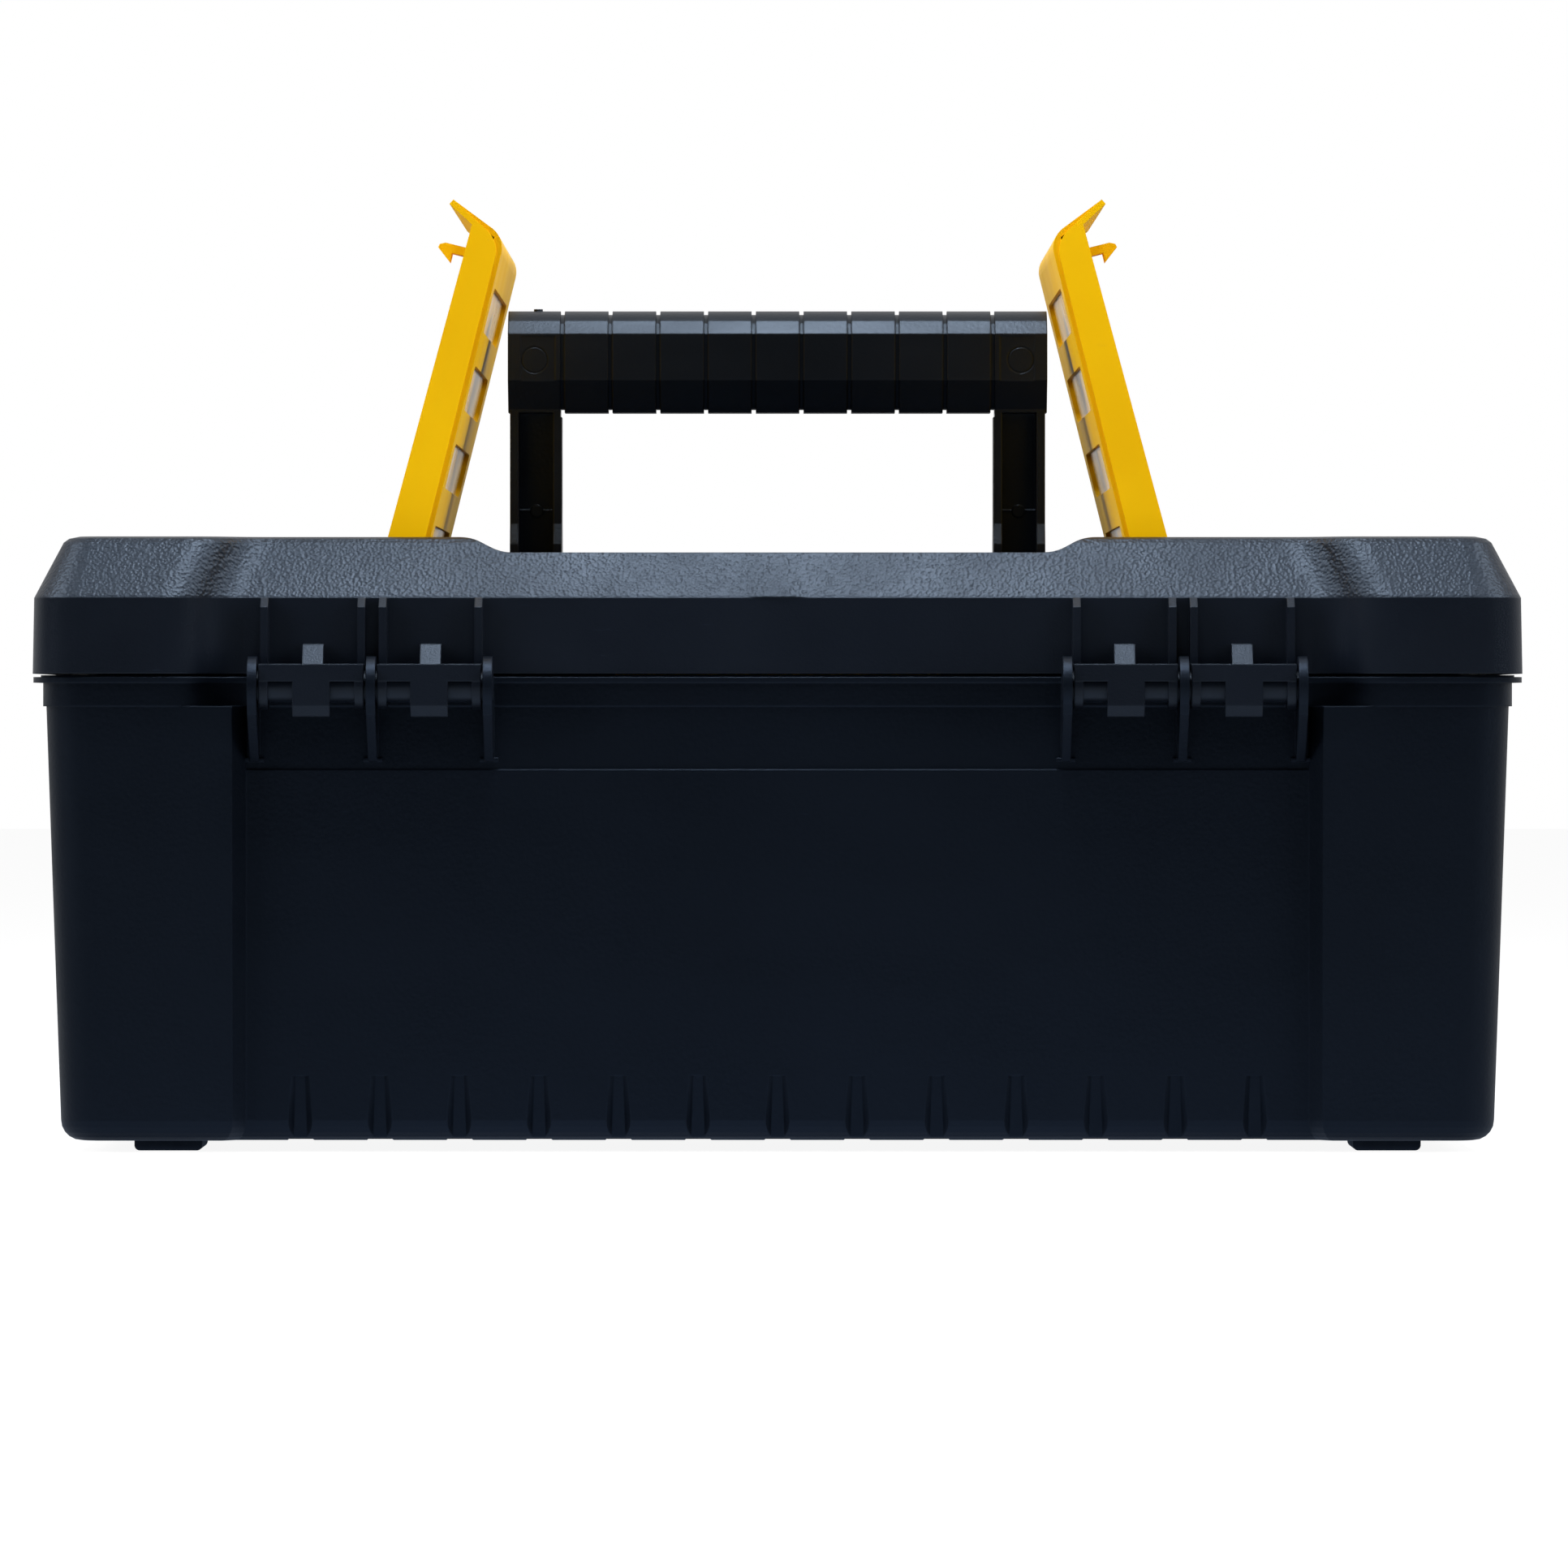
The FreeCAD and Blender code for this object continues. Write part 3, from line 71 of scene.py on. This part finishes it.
class Plastic:
    """Builds one moulded-plastic material, node by node."""

    def __init__(self, name, radius=EDGE_RADIUS):
        self.material = bpy.data.materials.new(name)
        self.material.use_nodes = True
        self.tree = self.material.node_tree
        self.shader = self.tree.nodes["Principled BSDF"]
        self.place = self.node("ShaderNodeTexCoord").outputs["Object"]
        self.shader.inputs["Specular Tint"].default_value = (0.66, 0.80, 1.0, 1)
        rounded = self.node("ShaderNodeBevel", samples=6)
        rounded.inputs["Radius"].default_value = radius
        self.normal = rounded.outputs["Normal"]

    def node(self, kind, **values):
        """New node with settings by name."""
        made = self.tree.nodes.new(kind)
        for key, value in values.items():
            setattr(made, key, value)
        return made

    def link(self, source, target):
        self.tree.links.new(source, target)

    def noise(self, size, detail=3.0, roughness=0.55, stretch=(1, 1, 1)):
        """Noise of features about size metres across, from 0 to 1."""
        mapping = self.node("ShaderNodeMapping")
        mapping.inputs["Scale"].default_value = [s / size for s in stretch]
        self.link(self.place, mapping.inputs["Vector"])
        made = self.node("ShaderNodeTexNoise")
        made.inputs["Scale"].default_value = 1.0
        made.inputs["Detail"].default_value = detail
        made.inputs["Roughness"].default_value = roughness
        self.link(mapping.outputs["Vector"], made.inputs["Vector"])
        return made.outputs["Fac"]

    def cells(self, size):
        """Distance to the middle of pebble-like cells about size metres across."""
        mapping = self.node("ShaderNodeMapping")
        mapping.inputs["Scale"].default_value = [1 / size] * 3
        self.link(self.place, mapping.inputs["Vector"])
        made = self.node("ShaderNodeTexVoronoi", feature="SMOOTH_F1")
        made.inputs["Scale"].default_value = 1.0
        made.inputs["Smoothness"].default_value = 0.6
        self.link(mapping.outputs["Vector"], made.inputs["Vector"])
        return made.outputs["Distance"]

    def span(self, source, low, high, out_low=0.0, out_high=1.0):
        """Remaps a value smoothly and clamps it."""
        made = self.node("ShaderNodeMapRange", interpolation_type="SMOOTHSTEP")
        for key, value in zip(("From Min", "From Max", "To Min", "To Max"),
                              (low, high, out_low, out_high)):
            made.inputs[key].default_value = value
        self.link(source, made.inputs["Value"])
        return made.outputs["Result"]

    def math(self, operation, a, b):
        """Two values, or a value and a number, through one sum."""
        made = self.node("ShaderNodeMath", operation=operation)
        for socket, value in zip(made.inputs, (a, b)):
            if isinstance(value, (int, float)):
                socket.default_value = value
            else:
                self.link(value, socket)
        return made.outputs["Value"]

    def mix(self, factor, a, b):
        """Blend of two colours."""
        made = self.node("ShaderNodeMix", data_type="RGBA")
        self.link(factor, made.inputs["Factor"])
        for socket, value in ((made.inputs["A"], a), (made.inputs["B"], b)):
            if isinstance(value, tuple):
                socket.default_value = value
            else:
                self.link(value, socket)
        return made.outputs["Result"]

    def bump(self, height, depth, strength=1.0):
        """Adds relief; depth is in metres."""
        made = self.node("ShaderNodeBump")
        made.inputs["Distance"].default_value = depth
        made.inputs["Strength"].default_value = strength
        self.link(height, made.inputs["Height"])
        self.link(self.normal, made.inputs["Normal"])
        self.normal = made.outputs["Normal"]

    def axis(self, name):
        """One coordinate of the surface point, in metres."""
        made = self.node("ShaderNodeSeparateXYZ")
        self.link(self.place, made.inputs["Vector"])
        return made.outputs[name]

    def finish(self, colour, roughness):
        """Connects colour, roughness and relief."""
        if isinstance(colour, tuple):
            self.shader.inputs["Base Color"].default_value = colour
        else:
            self.link(colour, self.shader.inputs["Base Color"])
        self.link(roughness, self.shader.inputs["Roughness"])
        self.link(self.normal, self.shader.inputs["Normal"])
        return self.material


def toned(plastic, base, rub, scuffed):
    """Dark colour that drifts a little lighter in places and paler where it is rubbed."""
    tone = plastic.span(plastic.noise(TONE_SIZE), 0.35, 0.65)
    lighter = tuple(c * 1.25 for c in base[:3]) + (1,)
    colour = plastic.mix(tone, base, lighter)
    marks = scuffs(plastic, SCUFF_SIZE, scuffed)
    return plastic.mix(marks, colour, rub), marks


def scuffs(plastic, size, amount):
    """Sparse fine rub marks, as a mask from 0 to 1."""
    streaks = plastic.noise(size, 4.0, 0.6, (0.25, 1.0, 2.4))
    patches = plastic.noise(size * 9, 2.0, 0.5)
    fine = plastic.span(streaks, 0.66, 0.74)
    broad = plastic.span(patches, 0.50, 0.72, 0.0, amount)
    return plastic.math("MULTIPLY", fine, broad)


def dark_plastic(name, base, rub, roughness, grain_depth, grain_size=0.9 * MM):
    """Blue-black polypropylene with a fine pebbled grain."""
    made = Plastic(name)
    colour, marks = toned(made, base, rub, 0.35)
    flow = made.noise(FLOW_SIZE, 3.0, 0.5, (0.4, 0.4, 1.6))
    gloss = made.span(flow, 0.3, 0.7, roughness - 0.04, roughness + 0.05)
    gloss = made.math("ADD", gloss, made.math("MULTIPLY", marks, 0.12))
    made.bump(made.cells(grain_size), grain_depth, 0.5)
    made.bump(made.noise(grain_size * 0.45, 2.0), grain_depth * 0.5, 0.5)
    made.bump(made.noise(WAVE_SIZE, 2.0), WAVE_DEPTH, 0.4)
    return made.finish(colour, gloss)


def case_plastic():
    """Body plastic, a little duller and bluer than the lid's."""
    material = dark_plastic("case_plastic", srgb(6, 9, 15), srgb(28, 36, 50), 0.42, 0.05 * MM)
    shader = material.node_tree.nodes["Principled BSDF"]
    shader.inputs["Specular Tint"].default_value = (0.50, 0.68, 1.0, 1)
    shader.inputs["Specular IOR Level"].default_value = 0.38
    return material


def lid_plastic():
    """Lid plastic, with a coarser leather grain above the band."""
    made = Plastic("lid_plastic")
    colour, _ = toned(made, srgb(9, 13, 21), srgb(40, 50, 64), 0.4)
    gloss = made.span(made.noise(FLOW_SIZE), 0.3, 0.7, 0.36, 0.44)
    textured = made.span(made.axis("Z"), GRAIN_FROM_Z, GRAIN_FROM_Z + 0.6 * MM)
    coarse = made.math("MULTIPLY", made.cells(LID_GRAIN), textured)
    made.bump(coarse, LID_GRAIN_DEPTH)
    made.bump(made.noise(0.5 * MM, 2.0), 0.06 * MM, 0.8)
    made.bump(made.noise(WAVE_SIZE, 2.0), WAVE_DEPTH, 0.4)
    return made.finish(colour, gloss)


def yellow_plastic(name="yellow_plastic", joint=None):
    """Satin yellow plastic with faint flow marks; a flap's flutes have polished floors, coloured
    beige there as a painted reflection.
    """
    made = Plastic(name, THIN_RADIUS)
    tone = made.span(made.noise(40 * MM, 3.0), 0.3, 0.7)
    colour = made.mix(tone, srgb(226, 174, 4), srgb(233, 183, 6))
    marks = scuffs(made, 1.8 * MM, 0.5)
    colour = made.mix(marks, colour, srgb(206, 160, 50))
    gloss = made.span(made.noise(18 * MM, 3.0), 0.3, 0.7, 0.44, 0.54)
    made.bump(made.noise(0.7 * MM, 2.0), 0.012 * MM, 0.4)
    made.bump(made.noise(12 * MM, 2.0), 0.04 * MM, 0.4)
    made.shader.inputs["Specular Tint"].default_value = (1.0, 0.90, 0.70, 1)
    made.shader.inputs["Specular IOR Level"].default_value = 0.2
    made.shader.inputs["Subsurface Weight"].default_value = 0.08
    made.shader.inputs["Subsurface Radius"].default_value = (1.0, 0.6, 0.1)
    made.shader.inputs["Subsurface Scale"].default_value = 1.2 * MM
    if joint:
        floor_polish_and_painted_reflection = flute_floors(made, joint)
        # The flutes' floors are coloured beige as a painted reflection of the bright surroundings;
        # their smoother gloss is real
        colour = made.mix(floor_polish_and_painted_reflection, colour, srgb(224, 180, 84))
        smooth = made.math("MULTIPLY", floor_polish_and_painted_reflection, -0.26)
        gloss = made.math("ADD", gloss, smooth)
    return made.finish(colour, gloss)


def flute_floors(made, joint):
    """Mask of the flutes' floors, by their distance from the flap's axis."""
    side = 1 if joint["pos_m"][0] > 0 else -1
    outward = Vector((-side * math.sin(FLAP_OPEN), 0, math.cos(FLAP_OPEN)))
    axis_point = Vector(joint["pos_m"])
    dot = made.node("ShaderNodeVectorMath", operation="DOT_PRODUCT")
    made.link(made.place, dot.inputs[0])
    dot.inputs[1].default_value = outward
    height = made.math("SUBTRACT", dot.outputs["Value"], axis_point.dot(outward) + FLUTE_FLOOR)
    level = made.math("ABSOLUTE", height, 0.0)
    near = made.span(level, 0.10 * MM, 0.30 * MM, 1.0, 0.0)
    reach = made.math("ABSOLUTE", made.axis("Y"), 0.0)
    inside = made.span(reach, FLUTE_HALF, FLUTE_HALF + 0.5 * MM, 1.0, 0.0)
    return made.math("MULTIPLY", near, inside)


def rubber():
    """Matt black feet."""
    made = Plastic("foot_rubber")
    tone = made.span(made.noise(6 * MM, 4.0), 0.3, 0.7)
    colour = made.mix(tone, srgb(16, 18, 23), srgb(28, 31, 38))
    gloss = made.span(made.noise(3 * MM, 3.0), 0.3, 0.7, 0.6, 0.75)
    made.bump(made.noise(0.5 * MM, 3.0), 0.05 * MM, 0.7)
    return made.finish(colour, gloss)


MATERIALS = {
    "case": case_plastic(),
    "lid": lid_plastic(),
    "handle": dark_plastic("handle_plastic", srgb(9, 10, 13), srgb(34, 37, 44), 0.38, 0.05 * MM),
    "tray": dark_plastic("tray_plastic", srgb(26, 31, 39), srgb(58, 64, 74), 0.42, 0.04 * MM),
    "pin": dark_plastic("pin_plastic", srgb(14, 19, 28), srgb(42, 50, 60), 0.36, 0.02 * MM),
    "yellow": yellow_plastic(),
    "flap_left": yellow_plastic("yellow_flap_left", JOINTS["organizer_left_close"]),
    "flap_right": yellow_plastic("yellow_flap_right", JOINTS["organizer_right_close"]),
    "rubber": rubber(),
}
FINISH = {"case_plastic": "case", "handle_plastic": "handle", "tray_plastic": "tray",
          "pin_plastic": "pin", "yellow_plastic": "yellow", "badge_plastic": "yellow",
          "foot_rubber": "rubber"}
SPECIAL = {"lid_shell": "lid", "organizer_lid_left": "flap_left", "organizer_lid_right": "flap_right"}

def dress_nodes():
    """Gives every CAD node its material."""
    slots = {s["node"]: s["material_slot"] for s in frame["record"]["subparts"]}
    for name, obj in NODES.items():
        material = MATERIALS[SPECIAL.get(name) or FINISH[slots[name]]]
        obj.data.materials.clear()
        obj.data.materials.append(material)


dress_nodes()


# ---------------------------------------------------------------- studio

FLOOR_SEEN = 0.90
FLOOR_GLOW = {"From Min": 0.10, "From Max": 0.30, "To Min": 0.36, "To Max": 0.004}
FLOOR_TINT = (0.56, 0.72, 1, 1)
BACKDROP = {"From Min": 0.0, "From Max": 0.5, "To Min": 0.004, "To Max": 0.7}
COOL = (0.86, 0.93, 1)
WARM = (1, 0.98, 0.95)
MIDDLE = (0, 0, 0.1)        # what the wide and side lights aim at
LID_TOP = (0, -0.08, 0.12)
LID_MIDDLE = (0, -0.08, 0.1)
# Name, place, aim, size, power, colour, and whether surfaces mirror it
SOFTBOXES = (
    ("wide", (0, -0.30, 1.3), MIDDLE, (2.4, 0.7), 6.5, COOL, True),
    ("top", (0, -0.19, 0.72), LID_TOP, (0.12, 0.3), 2.2, COOL, True),
    ("top_left", (-0.85, -0.1, 1.15), LID_MIDDLE, (0.5, 0.5), 5, COOL, True),
    ("top_right", (0.85, -0.1, 1.15), LID_MIDDLE, (0.5, 0.5), 5, COOL, True),
    ("left", (-1.6, -0.75, 0.5), MIDDLE, (0.8, 0.9), 30, WARM, False),
    ("right", (1.6, -0.75, 0.5), MIDDLE, (0.8, 0.9), 28, WARM, False),
)

FLOOR_HALF = 6.0
CAMERA_PLACE = (0, -2.232, 0.0942)
CAMERA_LENS = 229.9
CAMERA_SHIFT = (0.0041, -0.0445)


def softbox(name, place, aim, size, power, colour, mirrored):
    """Rectangular area light aimed at a point; unmirrored ones leave no highlights."""
    light = bpy.data.lights.new(name, "AREA")
    light.shape = "RECTANGLE"
    light.size, light.size_y = size
    light.energy = power
    light.color = colour
    obj = bpy.data.objects.new(name, light)
    obj.location = place
    obj.visible_glossy = mirrored
    obj.rotation_euler = (Vector(aim) - Vector(place)).to_track_quat("-Z", "Y").to_euler()
    bpy.context.scene.collection.objects.link(obj)


def floor():
    """Plain pale floor."""
    mesh = bpy.data.meshes.new("floor")
    corners = [(x * FLOOR_HALF, y * FLOOR_HALF, 0) for x, y in ((-1, -1), (1, -1), (1, 1), (-1, 1))]
    mesh.from_pydata(corners, [], [(0, 1, 2, 3)])
    obj = bpy.data.objects.new("floor", mesh)
    bpy.context.scene.collection.objects.link(obj)
    mesh.materials.append(floor_paper())


def floor_paper():
    """White paper; its light on the object fades with the distance from it."""
    material = bpy.data.materials.new("floor_paper")
    material.use_nodes = True
    tree = material.node_tree
    tree.nodes.remove(tree.nodes["Principled BSDF"])
    path = tree.nodes.new("ShaderNodeLightPath")
    place = tree.nodes.new("ShaderNodeTexCoord")
    distance = tree.nodes.new("ShaderNodeVectorMath")
    distance.operation = "LENGTH"
    fade = tree.nodes.new("ShaderNodeMapRange")
    for key, value in FLOOR_GLOW.items():
        fade.inputs[key].default_value = value
    level = tree.nodes.new("ShaderNodeMix")
    level.inputs["B"].default_value = FLOOR_SEEN
    tint = tree.nodes.new("ShaderNodeMix")
    tint.data_type = "RGBA"
    tint.inputs["A"].default_value = FLOOR_TINT
    tint.inputs["B"].default_value = (1, 1, 1, 1)
    glow = tree.nodes.new("ShaderNodeEmission")
    paper = tree.nodes.new("ShaderNodeBsdfDiffuse")
    paper.inputs["Color"].default_value = (0.25, 0.25, 0.25, 1)
    both = tree.nodes.new("ShaderNodeAddShader")
    tree.links.new(place.outputs["Object"], distance.inputs[0])
    tree.links.new(distance.outputs["Value"], fade.inputs["Value"])
    tree.links.new(path.outputs["Is Camera Ray"], level.inputs["Factor"])
    tree.links.new(fade.outputs["Result"], level.inputs["A"])
    tree.links.new(path.outputs["Is Camera Ray"], tint.inputs["Factor"])
    tree.links.new(tint.outputs["Result"], glow.inputs["Color"])
    tree.links.new(level.outputs["Result"], glow.inputs["Strength"])
    tree.links.new(glow.outputs["Emission"], both.inputs[0])
    tree.links.new(paper.outputs["BSDF"], both.inputs[1])
    tree.links.new(both.outputs["Shader"], tree.nodes["Material Output"].inputs["Surface"])
    return material


def world():
    """White backdrop; on the object it shines from beyond it and hardly from the camera's side."""
    made = bpy.data.worlds.new("studio")
    bpy.context.scene.world = made
    made.use_nodes = True
    tree = made.node_tree
    background = tree.nodes["Background"]
    path = tree.nodes.new("ShaderNodeLightPath")
    way = tree.nodes.new("ShaderNodeTexCoord")
    part = tree.nodes.new("ShaderNodeSeparateXYZ")
    fade = tree.nodes.new("ShaderNodeMapRange")
    for key, value in BACKDROP.items():
        fade.inputs[key].default_value = value
    level = tree.nodes.new("ShaderNodeMix")
    level.inputs["B"].default_value = 1.0
    tree.links.new(way.outputs["Generated"], part.inputs["Vector"])
    tree.links.new(part.outputs["Y"], fade.inputs["Value"])
    tree.links.new(path.outputs["Is Camera Ray"], level.inputs["Factor"])
    tree.links.new(fade.outputs["Result"], level.inputs["A"])
    tree.links.new(level.outputs["Result"], background.inputs["Strength"])
    background.inputs["Color"].default_value = (1, 1, 1, 1)


def camera():
    """Level camera behind the box, at the height of the rim."""
    data = bpy.data.cameras.new("camera")
    data.sensor_width = 36.0
    data.lens = CAMERA_LENS
    data.shift_x, data.shift_y = CAMERA_SHIFT
    obj = bpy.data.objects.new("camera", data)
    obj.location = CAMERA_PLACE
    obj.rotation_euler = (math.radians(90), 0, 0)
    bpy.context.scene.collection.objects.link(obj)
    bpy.context.scene.camera = obj


bpy.context.scene.view_settings.view_transform = "Standard"
floor()
world()
for settings in SOFTBOXES:
    softbox(*settings)
camera()
